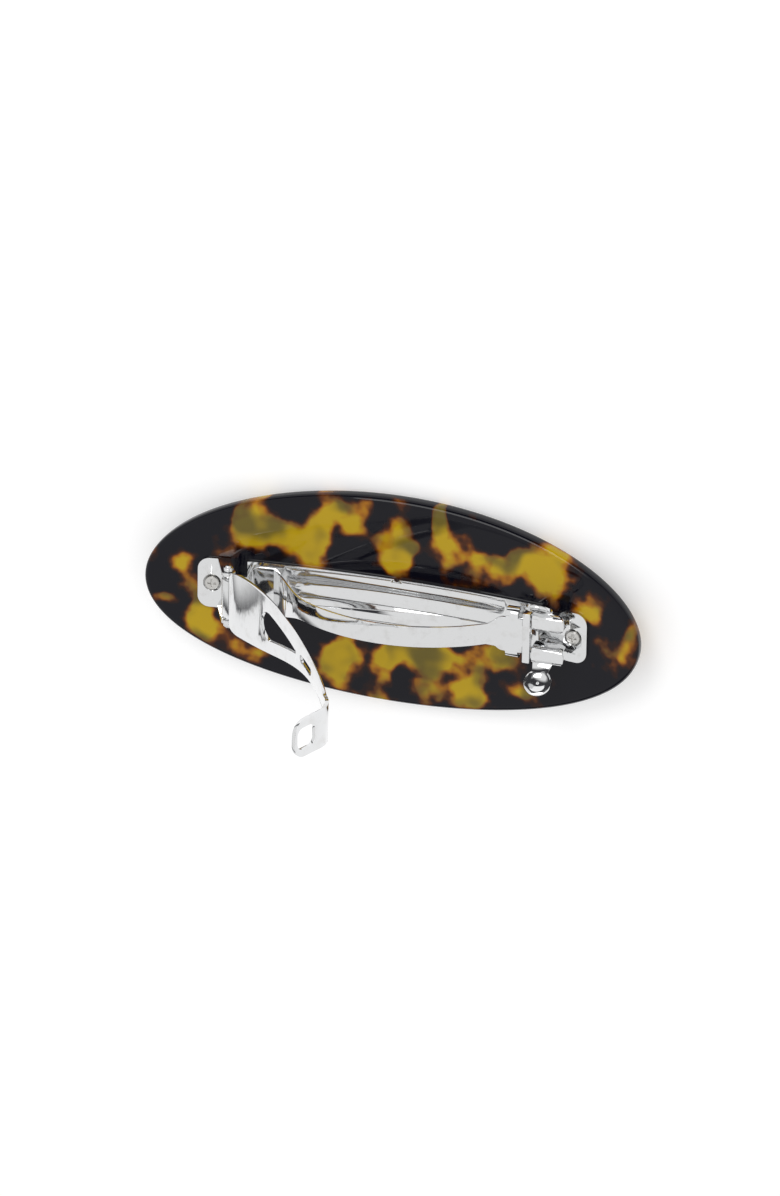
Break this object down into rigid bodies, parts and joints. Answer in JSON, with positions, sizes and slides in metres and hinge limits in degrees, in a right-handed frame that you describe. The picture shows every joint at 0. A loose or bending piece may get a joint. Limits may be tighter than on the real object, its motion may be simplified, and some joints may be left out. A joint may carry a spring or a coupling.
{
  "type": "hair barrette",
  "caption": "Oval tortoiseshell hair barrette with a sprung metal clasp: hinged lever, bowed tension bar and a squeeze catch, stored with the lever open.",
  "frame": {"origin": "centre of the oval plate's outline, at the lowest point of its convex face", "axes": "+X from the hinge to the catch, +Y across the oval, +Z out of the clasp side"},
  "size_m": [0.089, 0.0388, 0.0598],
  "materials": {
    "acetate": "polished tortoiseshell acetate",
    "plated_steel": "bright nickel plating",
    "spring_steel": "bright nickel plating",
    "screw_steel": "bright nickel plating"
  },
  "bodies": {
    "base": {"oval_body": "acetate", "base_plate": "plated_steel", "tension_bar": "spring_steel", "catch_bridge": "plated_steel", "hinge_pin": "plated_steel", "screw_hinge_end": "screw_steel", "screw_catch_end": "screw_steel"},
    "lever": {"clasp_lever": "plated_steel"},
    "lower_arm": {"latch_arm_lower": "plated_steel"},
    "upper_arm": {"latch_arm_upper": "plated_steel"}
  },
  "joints": [
    {"name": "lever_hinge", "type": "hinge", "parent": "base", "child": "lever", "pos_m": [-0.0282, 0, 0.0102], "axis": [0, 1, 0], "range_deg": [-15, 53], "deforming": ["tension_bar"]},
    {"name": "lower_arm_squeeze", "type": "hinge", "parent": "base", "child": "lower_arm", "pos_m": [0.0255, -0.003, 0.0065], "axis": [0, 0, 1], "range_deg": [0, 6], "stiffness_Nm_per_rad": 0.02},
    {"name": "upper_arm_squeeze", "type": "hinge", "parent": "base", "child": "upper_arm", "pos_m": [0.0255, 0.003, 0.0065], "axis": [0, 0, 1], "range_deg": [-6, 0], "stiffness_Nm_per_rad": 0.02}
  ],
  "couplings": [
    {"joint": "upper_arm_squeeze", "follows": "lower_arm_squeeze", "ratio": -1}
  ]
}
